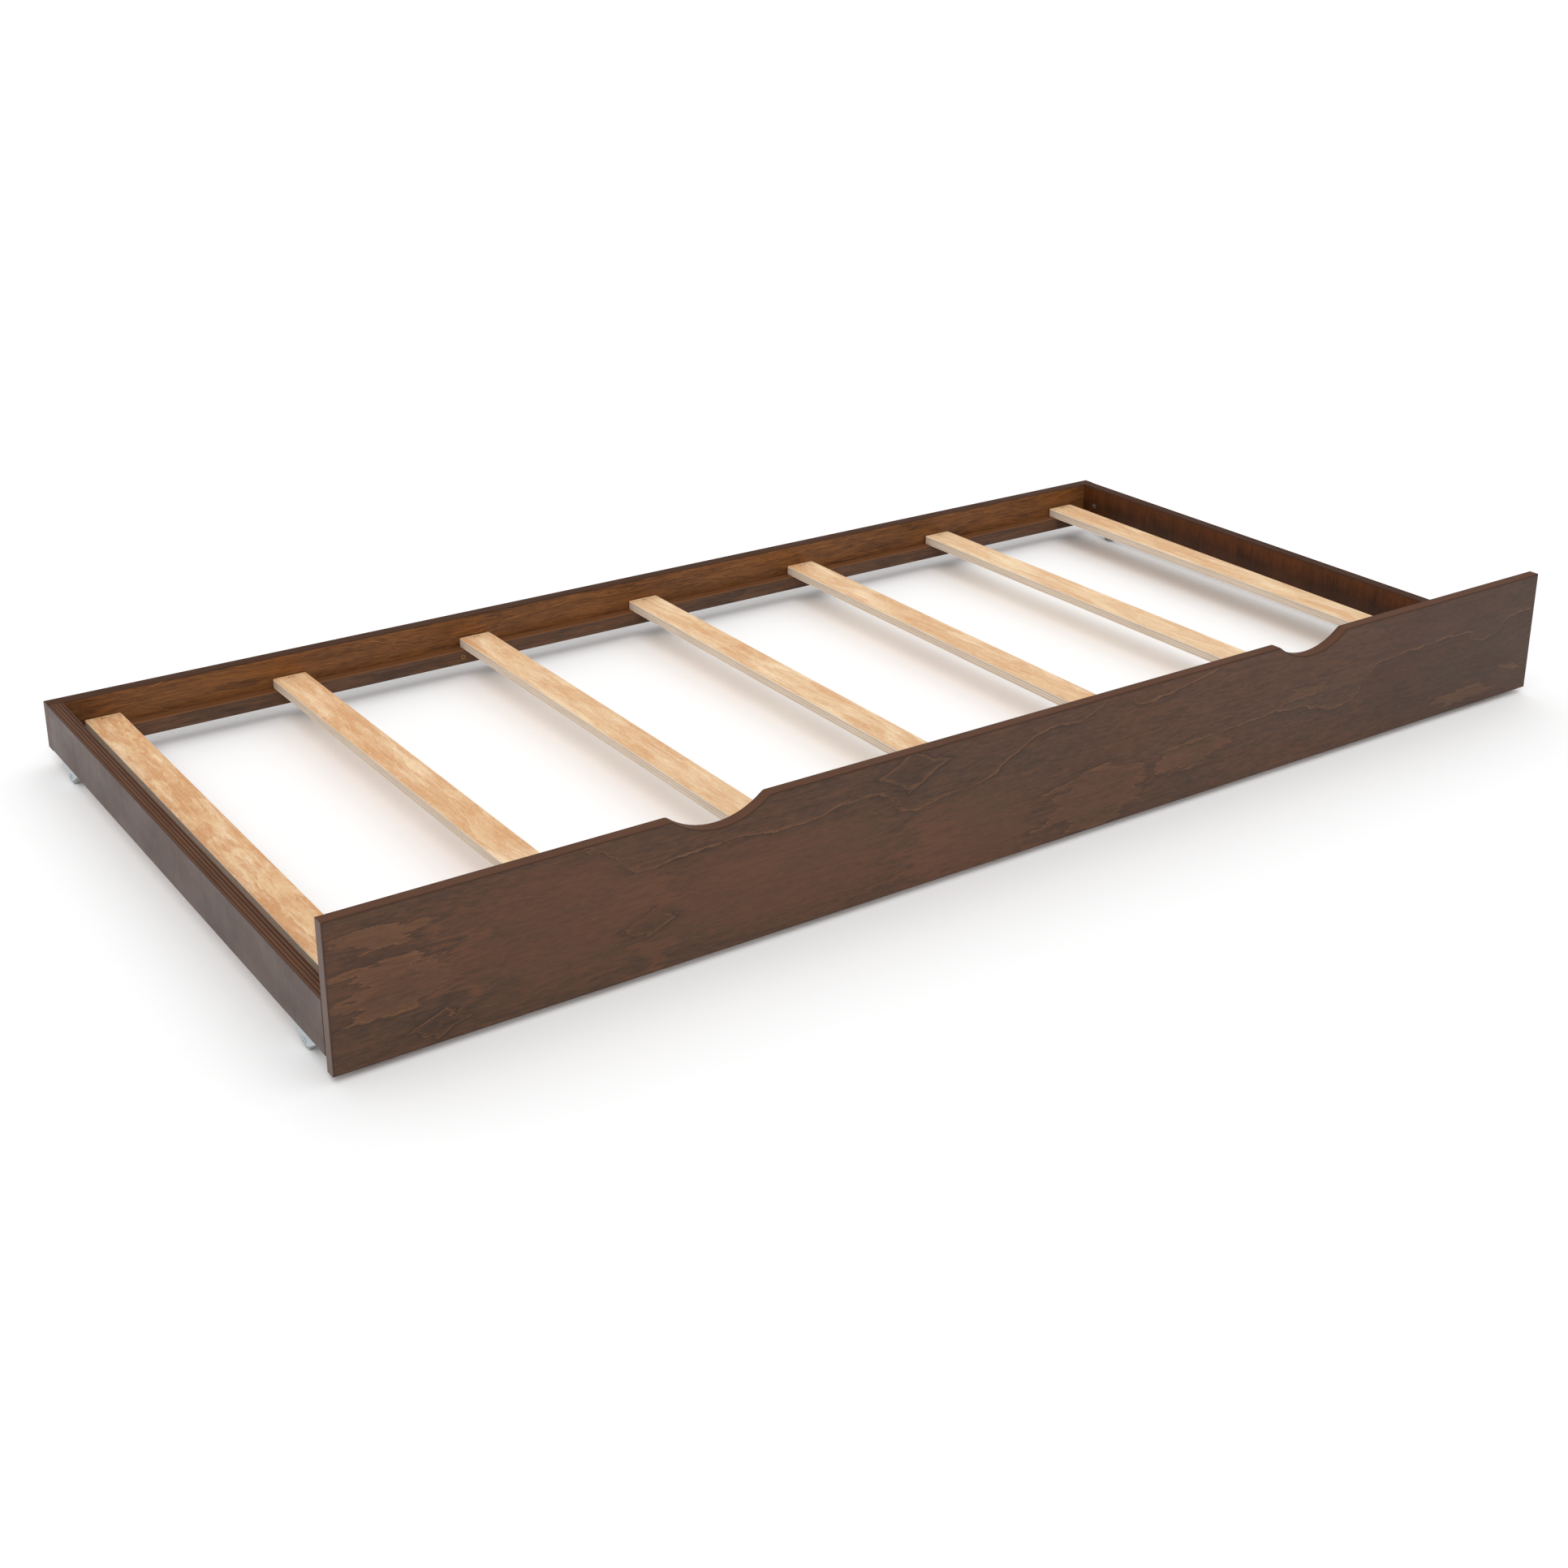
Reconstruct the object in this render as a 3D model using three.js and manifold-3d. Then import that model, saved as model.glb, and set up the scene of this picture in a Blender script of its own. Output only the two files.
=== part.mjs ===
// A rolling under-bed trundle frame for a twin mattress.
// Millimetres. X runs along the length, +Y towards the back board, +Z up.
// The origin is on the floor under the centre of the frame.
import * as THREE from 'three';
import { mergeVertices } from 'three/addons/utils/BufferGeometryUtils.js';
import Module from 'manifold-3d';

// ---------- driving dimensions ----------
const LENGTH = 1952;            // over the side boards
const DEPTH = 1009;             // front panel's face to back board's face
const FLOOR_TO_FRAME = 26;      // castor height
const BOARD_THICK = 21;
const BOARD_HEIGHT = 70;
const PANEL_THICK = 18;
const PANEL_CLEARANCE = 9.5;    // front panel above the floor
const PANEL_TOP = 193;
const CLEAT_WIDTH = 19;
const CLEAT_HEIGHT = 22.7;
const GAP = 0.3;                // between pieces that touch
const BOARD_EASE = 2;           // rounding of the boards' long edges
const PANEL_EASE = 2.5;         // rounding of the front panel's edges

const CUTOUT_SPREAD = 976;      // between the centres of the two hand cut-outs
const CUTOUT_WIDTH = 138;       // over the rounded shoulders
const CUTOUT_DEEP = 24;
const CUTOUT_SHOULDER = 8;      // radius of the shoulders

const SLAT_WIDTH = 52;
const SLAT_THICK = 14;
const SLAT_END_GAP = 1.6;
const SLAT_PITCH = 299;
const SLAT_CORNER = 3;          // rounding of the ends' corners, seen from above
const SLAT_EASE = 0.6;          // chamfer of the slats' edges
// how far each slat was fastened from its even place: at its middle, and more at its front end
const SLAT_SHIFTS = [-6, -23.5, -20, -15, -2, 4.5, -7];
const SLAT_SKEWS = [0, 5, -1, -5, -10, 2, -8];

const STAPLE_CROWN = 7;
const STAPLE_WIRE = 1.2;
const STAPLE_LEG = 24;
const STAPLE_FROM_END = 8;
const STAPLE_SINK = 0.1;        // crown's face below the slat's face
const STAPLE_SPARE = 0.2;       // room all round in its slot

const CASTOR_INSET = 10.5;      // wheel's middle plane in from the frame's outer face
const CASTOR_SPREAD = 836;      // between the front and the back axles
const WHEEL_RADIUS = 11;
const WHEEL_WIDTH = 11.6;
const WHEEL_DISH = 1.6;         // depth of the ring-shaped hollow in each side
const WHEEL_SPARE = 0.3;        // between the bore and the axle
const AXLE_RADIUS = 2.5;
const AXLE_BORE_RADIUS = 1.3;   // the axle is a hollow rivet
const AXLE_HEAD_RADIUS = 3.8;
const AXLE_HEAD_THICK = 0.9;
const FIT = 0.2;                // between metal pieces that are pushed together
const BRACKET_SHEET = 1.2;
const BRACKET_LENGTH = 75;
const BRACKET_WIDTH = 15.2;
const BRACKET_SCREW_SPREAD = 56;
const BRACKET_HOLE_RADIUS = 2.4;
const CHEEK_DROP = 4.8;         // the cheeks reach this far below the axle
const CHEEK_RUN = 28;           // half the length of the cheeks' slope
const CHEEK_NOSE = 13;          // half the length of the cheeks' rounded nose
const CASTOR_SCREW_LENGTH = 15;
const CASTOR_SCREW_HEAD_RADIUS = 4.2;
const CASTOR_PILOT_DEEP = 16;

const BOLT_RADIUS = 3;
const BOLT_HEAD_RADIUS = 6.5;
const BOLT_HEAD_HIGH = 4;
const BOLT_LENGTH = 66;
const BOLT_SOCKET_RADIUS = 2.3;
const BOLT_SOCKET_DEEP = 2.5;
const NUT_RADIUS = 5;
const NUT_LENGTH = 14;
const NUT_SETBACK = 30;         // barrel nut from the back board's inner face
const DRIVE_REACH = 4;          // half the length of a screwdriver slot in a nut or a cam
const DRIVE_HALF = 0.8;         // half the width of that slot
const CAM_RADIUS = 7.5;
const CAM_THICK = 12;
const CAM_SETBACK = 34;         // cam from the front panel's back face
const CAM_DOWEL_RADIUS = 3;
const CAM_DOWEL_IN_PANEL = 11;
const CAM_DOWEL_NECK = 1.6;     // radius of the neck that the cam grips

const CLEAT_SCREW_SPREAD = 694;
const CLEAT_SCREW_LENGTH = 32;
const CLEAT_SCREW_HEAD_RADIUS = 4.4;
const COUNTERSINK_RADIUS = 5;
const COUNTERSINK_DEEP = 3.6;
const SCREW_SHANK_RADIUS = 2;
const SCREW_HOLE_RADIUS = 2.3;
const SCREW_POINT = 5;

// ---------- places worked out from the dimensions ----------
const frameBottom = FLOOR_TO_FRAME;
const frameTop = frameBottom + BOARD_HEIGHT;
const frontFace = -DEPTH / 2;
const panelBack = frontFace + PANEL_THICK;
const backFace = DEPTH / 2;
const backInner = backFace - BOARD_THICK;
const sideInner = LENGTH / 2 - BOARD_THICK;
const boardMiddle = frameBottom + BOARD_HEIGHT / 2;
const cleatTop = frameBottom + CLEAT_HEIGHT;
const cleatMiddle = frameBottom + CLEAT_HEIGHT / 2;
const slatBottom = cleatTop + GAP;
const slatTop = slatBottom + SLAT_THICK;
const slatLength = backInner - panelBack - 2 * SLAT_END_GAP;
const insideMiddle = (backInner + panelBack) / 2;
const sideJoint = LENGTH / 2 - BOARD_THICK / 2;   // X of the corner fasteners

// ---------- materials ----------
const stained = () => new THREE.MeshStandardMaterial({ color: 0x5c483e, roughness: 0.45, metalness: 0 });
const stainedWarm = () => new THREE.MeshStandardMaterial({ color: 0x643f25, roughness: 0.55, metalness: 0 });
const birch = () => new THREE.MeshStandardMaterial({ color: 0xe1b98c, roughness: 0.7, metalness: 0 });
const zinc = () => new THREE.MeshStandardMaterial({ color: 0xafb9bc, roughness: 0.35, metalness: 1 });
const yellowZinc = () => new THREE.MeshStandardMaterial({ color: 0xb08a58, roughness: 0.4, metalness: 1 });
const wheelPlastic = () => new THREE.MeshStandardMaterial({ color: 0x9a9c9c, roughness: 0.5, metalness: 0 });

// ---------- solids ----------
const wasm = await Module();
wasm.setup();

function solid(geometry) {
  const bare = geometry.clone();
  bare.deleteAttribute('normal');
  bare.deleteAttribute('uv');
  const merged = mergeVertices(bare, 1e-4);
  return new wasm.Manifold(new wasm.Mesh({
    numProp: 3,
    vertProperties: merged.attributes.position.array,
    triVerts: new Uint32Array(merged.index.array),
  }));
}

function geometryOf(manifold) {
  const mesh = manifold.getMesh();
  const geometry = new THREE.BufferGeometry();
  geometry.setAttribute('position', new THREE.BufferAttribute(mesh.vertProperties, mesh.numProp));
  geometry.setIndex(new THREE.BufferAttribute(mesh.triVerts, 1));
  geometry.computeVertexNormals();
  return geometry;
}

function cut(geometry, tools) {
  let piece = solid(geometry);
  for (const tool of tools) piece = piece.subtract(solid(tool));
  return geometryOf(piece);
}

function join(geometries) {
  let piece = solid(geometries[0]);
  for (const other of geometries.slice(1)) piece = piece.add(solid(other));
  return geometryOf(piece);
}

function box(low, high) {
  const geometry = new THREE.BoxGeometry(high[0] - low[0], high[1] - low[1], high[2] - low[2]);
  return geometry.translate((low[0] + high[0]) / 2, (low[1] + high[1]) / 2, (low[2] + high[2]) / 2);
}

// the turn that takes +Y to a direction
function turnTo(direction) {
  return new THREE.Quaternion().setFromUnitVectors(new THREE.Vector3(0, 1, 0), direction);
}

// a cylinder between two places
function rod(radius, from, to, sides = 16) {
  const start = new THREE.Vector3(...from);
  const along = new THREE.Vector3(...to).sub(start);
  const geometry = new THREE.CylinderGeometry(radius, radius, along.length(), sides);
  const turn = turnTo(along.clone().normalize());
  return geometry.applyQuaternion(turn).translate(...start.addScaledVector(along, 0.5).toArray());
}

// a profile of [radius, height] points turned about an axis that leaves `at` towards `out`
function turned(profile, at, out, sides = 16) {
  const points = profile.map(([radius, height]) => new THREE.Vector2(radius, height));
  const geometry = new THREE.LatheGeometry(points, sides);
  return geometry.applyQuaternion(turnTo(new THREE.Vector3(...out))).translate(...at);
}

function roundedOutline(width, height, radius, steps) {
  const points = [];
  const corners = [[1, 1, 0], [-1, 1, 1], [-1, -1, 2], [1, -1, 3]];
  for (const [right, up, quarter] of corners) {
    for (let step = 0; step <= steps; step += 1) {
      const angle = (quarter + step / steps) * Math.PI / 2;
      const x = right * (width / 2 - radius) + radius * Math.cos(angle);
      const y = up * (height / 2 - radius) + radius * Math.sin(angle);
      points.push(new THREE.Vector2(x, y));
    }
  }
  return new THREE.Shape(points);
}

// ---------- the boards ----------
// a board with eased long edges, from one end to the other along X or Y
function board(along, from, to, thick, low, high) {
  const outline = roundedOutline(thick, high - low, BOARD_EASE, 3);
  const geometry = new THREE.ExtrudeGeometry(outline, { depth: to - from, bevelEnabled: false });
  geometry.rotateX(Math.PI / 2).translate(0, to, (low + high) / 2);
  return along === 'X' ? geometry.rotateZ(-Math.PI / 2) : geometry;
}

function arc(outline, centreX, centreY, radius, start, end, steps) {
  for (let step = 0; step <= steps; step += 1) {
    const angle = start + (end - start) * step / steps;
    outline.lineTo(centreX + radius * Math.cos(angle), centreY + radius * Math.sin(angle));
  }
}

// the top edge's dip: a round shoulder, a shallow arc and the other shoulder, all tangent,
// drawn on the outline that lies PANEL_EASE inside the finished edge
function addCutout(outline, centre, top) {
  const half = CUTOUT_WIDTH / 2;
  const shoulder = CUTOUT_SHOULDER - PANEL_EASE;
  // the shoulder circle and the arc's circle touch from outside, so their centres are this far apart
  const apart = (half * half / CUTOUT_DEEP + CUTOUT_DEEP) / 2;
  const radius = apart - shoulder;
  const lean = Math.asin(half / apart);
  const up = Math.PI / 2;
  arc(outline, centre + half, top - shoulder, shoulder, up, up + lean, 4);
  arc(outline, centre, top - CUTOUT_DEEP + radius, radius, lean - up, -lean - up, 16);
  arc(outline, centre - half, top - shoulder, shoulder, up - lean, up, 4);
}

function frontPanel() {
  const left = -LENGTH / 2 + PANEL_EASE;
  const right = LENGTH / 2 - PANEL_EASE;
  const bottom = PANEL_CLEARANCE + PANEL_EASE;
  const top = PANEL_TOP - PANEL_EASE;
  const outline = new THREE.Shape();
  outline.moveTo(left, bottom);
  outline.lineTo(right, bottom);
  outline.lineTo(right, top);
  addCutout(outline, CUTOUT_SPREAD / 2, top);
  addCutout(outline, -CUTOUT_SPREAD / 2, top);
  outline.lineTo(left, top);
  const geometry = new THREE.ExtrudeGeometry(outline, {
    depth: PANEL_THICK - 2 * PANEL_EASE,
    bevelThickness: PANEL_EASE, bevelSize: PANEL_EASE, bevelSegments: 3,
  });
  geometry.rotateX(Math.PI / 2).translate(0, panelBack - PANEL_EASE, 0);
  const tools = [];
  for (const side of [-1, 1]) {
    const x = side * sideJoint;
    tools.push(rod(CAM_DOWEL_RADIUS + GAP, [x, panelBack - CAM_DOWEL_IN_PANEL - GAP, boardMiddle],
      [x, panelBack + 1, boardMiddle]));
    tools.push(cleatScrewHole(side, panelBack, -1));
  }
  return cut(geometry, tools);
}

function backBoard() {
  const geometry = board('X', -LENGTH / 2, LENGTH / 2, BOARD_THICK, frameBottom, frameTop)
    .translate(0, backFace - BOARD_THICK / 2, 0);
  const tools = [];
  for (const side of [-1, 1]) {
    const x = side * sideJoint;
    const seat = backFace - BOLT_HEAD_HIGH - 2 * GAP;
    tools.push(rod(BOLT_HEAD_RADIUS + GAP, [x, seat, boardMiddle], [x, backFace + 1, boardMiddle]));
    tools.push(rod(BOLT_RADIUS + GAP, [x, backInner - 1, boardMiddle], [x, backFace, boardMiddle]));
    tools.push(cleatScrewHole(side, backInner, 1));
  }
  return cut(geometry, tools);
}

function sideBoard(side) {
  const geometry = board('Y', panelBack + GAP, backInner - GAP, BOARD_THICK, frameBottom, frameTop)
    .translate(side * sideJoint, 0, 0);
  const x = side * sideJoint;
  const nutY = backInner - NUT_SETBACK;
  const camY = panelBack + CAM_SETBACK;
  const inner = side * (sideInner - 1);
  const tools = [
    rod(BOLT_RADIUS + GAP, [x, backFace - BOLT_LENGTH - 2, boardMiddle], [x, backInner + 1, boardMiddle]),
    rod(NUT_RADIUS + GAP, [side * (sideInner + NUT_LENGTH + 3 * GAP), nutY, boardMiddle],
      [inner, nutY, boardMiddle], 20),
    rod(CAM_DOWEL_RADIUS + GAP, [x, panelBack - 1, boardMiddle], [x, camY, boardMiddle]),
    rod(CAM_RADIUS + GAP, [side * (sideInner + CAM_THICK + 3 * GAP), camY, boardMiddle],
      [inner, camY, boardMiddle], 24),
  ];
  for (const end of [-1, 1]) {
    for (const screw of [-1, 1]) {
      const y = end * CASTOR_SPREAD / 2 + screw * BRACKET_SCREW_SPREAD / 2;
      const middle = side * (LENGTH / 2 - CASTOR_INSET);
      tools.push(rod(SCREW_HOLE_RADIUS, [middle, y, frameBottom - 1],
        [middle, y, frameBottom + CASTOR_PILOT_DEEP], 12));
    }
  }
  return cut(geometry, tools);
}

// ---------- cleats and their screws ----------
function cleatScrewHole(side, face, into) {
  const x = side * CLEAT_SCREW_SPREAD / 2;
  const reach = CLEAT_SCREW_LENGTH - CLEAT_WIDTH + 1;
  return rod(SCREW_HOLE_RADIUS, [x, face - into, cleatMiddle], [x, face + into * reach, cleatMiddle], 12);
}

function cleat(face, into) {
  // `into` points from the cleat into the board that it is screwed to
  const middle = face - into * (CLEAT_WIDTH / 2 + GAP);
  const open = face - into * (CLEAT_WIDTH + GAP);
  const geometry = board('X', -sideInner + GAP, sideInner - GAP, CLEAT_WIDTH, frameBottom, cleatTop)
    .translate(0, middle, 0);
  const countersink = [
    [0, -1], [COUNTERSINK_RADIUS, -1], [COUNTERSINK_RADIUS, GAP],
    [SCREW_SHANK_RADIUS, COUNTERSINK_DEEP], [0, COUNTERSINK_DEEP],
  ];
  const tools = [];
  for (const side of [-1, 1]) {
    const x = side * CLEAT_SCREW_SPREAD / 2;
    tools.push(rod(SCREW_HOLE_RADIUS, [x, open - into, cleatMiddle], [x, face + into, cleatMiddle], 12));
    tools.push(turned(countersink, [x, open, cleatMiddle], [0, into, 0], 16));
  }
  for (const index of SLAT_SHIFTS.keys()) tools.push(...stapleSlots(index, into));
  return cut(geometry, tools);
}

// a countersunk wood screw with a cross recess: its head's face is at `at`, its point leaves along `out`
function woodScrew(at, out, headRadius, length) {
  const rim = 0.4;
  const headDeep = 3.2;
  const [crossWide, crossDeep] = [0.9, 1.6];
  const profile = [
    [0, 0], [headRadius, 0], [headRadius, rim], [SCREW_SHANK_RADIUS, headDeep],
    [SCREW_SHANK_RADIUS, length - SCREW_POINT], [0, length],
  ];
  const spin = turnTo(new THREE.Vector3(...out));
  const blades = [0, 1].map((turn) => new THREE.BoxGeometry(crossWide, 2 * crossDeep, headRadius)
    .rotateY(turn * Math.PI / 2).applyQuaternion(spin).translate(...at));
  return cut(turned(profile, at, out, 12), blades);
}

// ---------- slats and staples ----------
function slatPlace(index) {
  const skew = Math.atan2(SLAT_SKEWS[index], slatLength);
  const middle = (index - (SLAT_SHIFTS.length - 1) / 2) * SLAT_PITCH + SLAT_SHIFTS[index];
  return { middle, skew };
}

function onSlat(geometry, index) {
  const { middle, skew } = slatPlace(index);
  return geometry.rotateZ(skew).translate(middle, insideMiddle, 0);
}

// the wire's three straight stretches, grown by `spare` all round; `end` is -1 at the front, 1 at the back
function stapleBars(end, spare) {
  const y = end * (slatLength / 2 - STAPLE_FROM_END);
  const half = STAPLE_CROWN / 2;
  const wide = STAPLE_WIRE / 2 + spare;
  const crownTop = slatTop - STAPLE_SINK;
  const crownLow = crownTop - STAPLE_WIRE - spare;
  const bars = [box([-half - spare, y - wide, crownLow], [half + spare, y + wide, crownTop + 2 * spare])];
  for (const leg of [-1, 1]) {
    const outer = leg * (half + spare);
    const inner = leg * (half - STAPLE_WIRE - spare);
    const [low, high] = [Math.min(outer, inner), Math.max(outer, inner)];
    bars.push(box([low, y - wide, slatTop - STAPLE_LEG - spare], [high, y + wide, crownTop - STAPLE_SINK]));
  }
  return bars;
}

function stapleSlots(index, end) {
  return stapleBars(end, STAPLE_SPARE).map((bar) => onSlat(bar, index));
}

function staple(index, end) {
  return onSlat(join(stapleBars(end, 0)), index);
}

function slat(index) {
  const outline = roundedOutline(SLAT_WIDTH - 2 * SLAT_EASE, slatLength - 2 * SLAT_EASE, SLAT_CORNER, 3);
  const geometry = new THREE.ExtrudeGeometry(outline, {
    depth: SLAT_THICK - 2 * SLAT_EASE,
    bevelThickness: SLAT_EASE, bevelSize: SLAT_EASE, bevelSegments: 1,
  });
  geometry.translate(0, 0, slatBottom + SLAT_EASE);
  return cut(onSlat(geometry, index), [...stapleSlots(index, -1), ...stapleSlots(index, 1)]);
}

// ---------- corner fittings ----------
function cornerBolt(side) {
  const at = [side * sideJoint, backFace, boardMiddle];
  const under = BOLT_HEAD_HIGH + GAP;
  const profile = [
    [0, GAP], [BOLT_HEAD_RADIUS, GAP], [BOLT_HEAD_RADIUS, under],
    [BOLT_RADIUS, under], [BOLT_RADIUS, BOLT_LENGTH], [0, BOLT_LENGTH],
  ];
  const body = turned(profile, at, [0, -1, 0], 16);
  const socket = new THREE.CylinderGeometry(BOLT_SOCKET_RADIUS, BOLT_SOCKET_RADIUS, 2 * BOLT_SOCKET_DEEP, 6)
    .translate(...at);
  return cut(body, [socket]);
}

// a slot across the mouth of a nut or a cam that sits in a side board, as deep as it is wide
function driveSlot(mouth, y, alongY, alongZ) {
  const deep = 2 * DRIVE_HALF;
  const low = [mouth - deep, y - alongY, boardMiddle - alongZ];
  return box(low, [mouth + deep, y + alongY, boardMiddle + alongZ]);
}

function cornerNut(side) {
  const y = backInner - NUT_SETBACK;
  const mouth = side * (sideInner + 2 * GAP);
  const body = rod(NUT_RADIUS, [mouth, y, boardMiddle], [mouth + side * NUT_LENGTH, y, boardMiddle], 20);
  const x = side * sideJoint;
  const through = NUT_RADIUS + 1;
  const thread = rod(BOLT_RADIUS + FIT, [x, y - through, boardMiddle], [x, y + through, boardMiddle]);
  return cut(body, [thread, driveSlot(mouth, y, DRIVE_REACH, DRIVE_HALF)]);
}

function cam(side) {
  const y = panelBack + CAM_SETBACK;
  const mouth = side * (sideInner + 2 * GAP);
  const body = rod(CAM_RADIUS, [mouth, y, boardMiddle], [mouth + side * CAM_THICK, y, boardMiddle], 24);
  const x = side * sideJoint;
  // the dowel's head is caught in a pocket that opens towards the panel
  const pocket = rod(CAM_DOWEL_RADIUS + GAP, [x, y - CAM_RADIUS - 1, boardMiddle], [x, y + 1, boardMiddle]);
  return cut(body, [
    pocket,
    driveSlot(mouth, y, DRIVE_REACH, DRIVE_HALF),
    driveSlot(mouth, y, DRIVE_HALF, DRIVE_REACH),
  ]);
}

function camDowel(side) {
  const x = side * sideJoint;
  const deep = panelBack - CAM_DOWEL_IN_PANEL;
  const tip = CAM_DOWEL_IN_PANEL + CAM_SETBACK - 0.5;
  const neckStart = tip - CAM_RADIUS;
  const tipRadius = CAM_DOWEL_RADIUS - 0.4;
  const profile = [
    [0, 0], [CAM_DOWEL_RADIUS, 0], [CAM_DOWEL_RADIUS, neckStart], [CAM_DOWEL_NECK, neckStart + 1],
    [CAM_DOWEL_NECK, tip - 3], [tipRadius, tip - 2], [tipRadius, tip], [0, tip],
  ];
  return turned(profile, [x, deep, boardMiddle], [0, 1, 0], 12);
}

// ---------- castors ----------
// each castor piece is made about the axle's middle, with the axle along X
const axleHeight = WHEEL_RADIUS;
const plateTop = frameBottom - GAP - axleHeight;
const plateBottom = plateTop - BRACKET_SHEET;

// seen along the axle: a long plate whose cheeks slope down to a rounded nose around the axle
function cheekOutline() {
  const half = BRACKET_LENGTH / 2;
  const lip = plateTop - 1.5;
  const slopeTop = 7.5;
  const slopeFoot = -1.5;
  const noseFlat = 5;
  const noseBend = 9;
  const outline = new THREE.Shape();
  outline.moveTo(-half, plateTop);
  outline.lineTo(-half, lip);
  outline.lineTo(-CHEEK_RUN, slopeTop);
  outline.lineTo(-CHEEK_NOSE, slopeFoot);
  outline.quadraticCurveTo(-noseBend, -CHEEK_DROP, -noseFlat, -CHEEK_DROP);
  outline.lineTo(noseFlat, -CHEEK_DROP);
  outline.quadraticCurveTo(noseBend, -CHEEK_DROP, CHEEK_NOSE, slopeFoot);
  outline.lineTo(CHEEK_RUN, slopeTop);
  outline.lineTo(half, lip);
  outline.lineTo(half, plateTop);
  return outline;
}

function bracket() {
  const half = BRACKET_WIDTH / 2;
  const cheek = new THREE.ExtrudeGeometry(cheekOutline(), {
    depth: BRACKET_WIDTH, bevelEnabled: false, curveSegments: 4,
  });
  // the outline lies in the Y-Z plane, and its depth runs along X
  cheek.rotateX(Math.PI / 2).rotateZ(Math.PI / 2).translate(-half, 0, 0);
  const inside = half - BRACKET_SHEET;
  const tools = [
    box([-inside, -BRACKET_LENGTH, -WHEEL_RADIUS], [inside, BRACKET_LENGTH, plateBottom]),
    rod(AXLE_RADIUS + FIT, [-half - 1, 0, 0], [half + 1, 0, 0]),
  ];
  for (const end of [-1, 1]) {
    const y = end * BRACKET_SCREW_SPREAD / 2;
    tools.push(rod(BRACKET_HOLE_RADIUS, [0, y, plateBottom - 1], [0, y, plateTop + 1], 12));
  }
  return cut(cheek, tools);
}

// a ring turned about the axle: its right half's profile from the bore outwards, and the same mirrored
function ringOnAxle(side, segments) {
  const profile = [...side.map(([radius, x]) => [radius, -x]), ...side.slice().reverse()];
  profile.push(profile[0]);
  return turned(profile, [0, 0, 0], [1, 0, 0], segments);
}

function wheel() {
  const face = WHEEL_WIDTH / 2;
  const dish = face - WHEEL_DISH;
  const hub = 4.8;
  const rim = 9.4;
  const shoulder = 1.2;
  return ringOnAxle([
    [AXLE_RADIUS + WHEEL_SPARE, face], [hub, face], [hub + 0.4, dish], [rim - 0.8, dish], [rim, face],
    [WHEEL_RADIUS - 1, face], [WHEEL_RADIUS, face - shoulder],
  ], 24);
}

function axle() {
  const grip = BRACKET_WIDTH / 2 + FIT;
  const end = grip + AXLE_HEAD_THICK;
  return ringOnAxle([
    [AXLE_BORE_RADIUS, end], [AXLE_HEAD_RADIUS - 0.6, end], [AXLE_HEAD_RADIUS, grip], [AXLE_RADIUS, grip],
  ], 12);
}

function castorScrew(end) {
  const y = end * BRACKET_SCREW_SPREAD / 2;
  const headHigh = 2;
  const profile = [
    [0, -headHigh], [SCREW_HOLE_RADIUS, -headHigh], [CASTOR_SCREW_HEAD_RADIUS - 0.2, -headHigh / 2],
    [CASTOR_SCREW_HEAD_RADIUS, 0], [SCREW_SHANK_RADIUS, 0],
    [SCREW_SHANK_RADIUS, CASTOR_SCREW_LENGTH - SCREW_POINT], [0, CASTOR_SCREW_LENGTH],
  ];
  return turned(profile, [0, y, plateBottom - FIT], [0, 0, 1], 12);
}

// ---------- the assembly ----------
const assembly = new THREE.Group();

function add(parent, name, geometry, material) {
  const mesh = new THREE.Mesh(geometry, material);
  mesh.name = name;
  parent.add(mesh);
}

add(assembly, 'front_panel', frontPanel(), stained());
add(assembly, 'back_board', backBoard(), stained());
add(assembly, 'front_cleat', cleat(panelBack, -1), stainedWarm());
add(assembly, 'back_cleat', cleat(backInner, 1), stainedWarm());

const sides = [['left', -1], ['right', 1]];
for (const [sideName, side] of sides) {
  add(assembly, `${sideName}_side_board`, sideBoard(side), stained());
  add(assembly, `corner_bolt_${sideName}`, cornerBolt(side), zinc());
  add(assembly, `corner_nut_${sideName}`, cornerNut(side), zinc());
  add(assembly, `cam_${sideName}`, cam(side), zinc());
  add(assembly, `cam_dowel_${sideName}`, camDowel(side), zinc());
}

const ends = [['front', -1], ['back', 1]];
for (const index of SLAT_SHIFTS.keys()) {
  add(assembly, `slat_${index + 1}`, slat(index), birch());
  for (const [endName, end] of ends) {
    add(assembly, `staple_${index + 1}_${endName}`, staple(index, end), zinc());
  }
}

for (const [endName, end] of ends) {
  const face = end < 0 ? panelBack : backInner;
  const open = face - end * (CLEAT_WIDTH + GAP);
  for (const [sideName, side] of sides) {
    const at = [side * CLEAT_SCREW_SPREAD / 2, open + end * GAP, cleatMiddle];
    add(assembly, `cleat_screw_${endName}_${sideName}`,
      woodScrew(at, [0, end, 0], CLEAT_SCREW_HEAD_RADIUS, CLEAT_SCREW_LENGTH - 1), yellowZinc());

    const castor = new THREE.Group();
    castor.position.set(side * (LENGTH / 2 - CASTOR_INSET), end * CASTOR_SPREAD / 2, axleHeight);
    assembly.add(castor);
    const name = `castor_${endName}_${sideName}`;
    add(castor, `${name}_bracket`, bracket(), zinc());
    add(castor, `${name}_wheel`, wheel(), wheelPlastic());
    add(castor, `${name}_axle`, axle(), zinc());
    add(castor, `${name}_screw_front`, castorScrew(-1), zinc());
    add(castor, `${name}_screw_back`, castorScrew(1), zinc());
  }
}

export default assembly;
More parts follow.
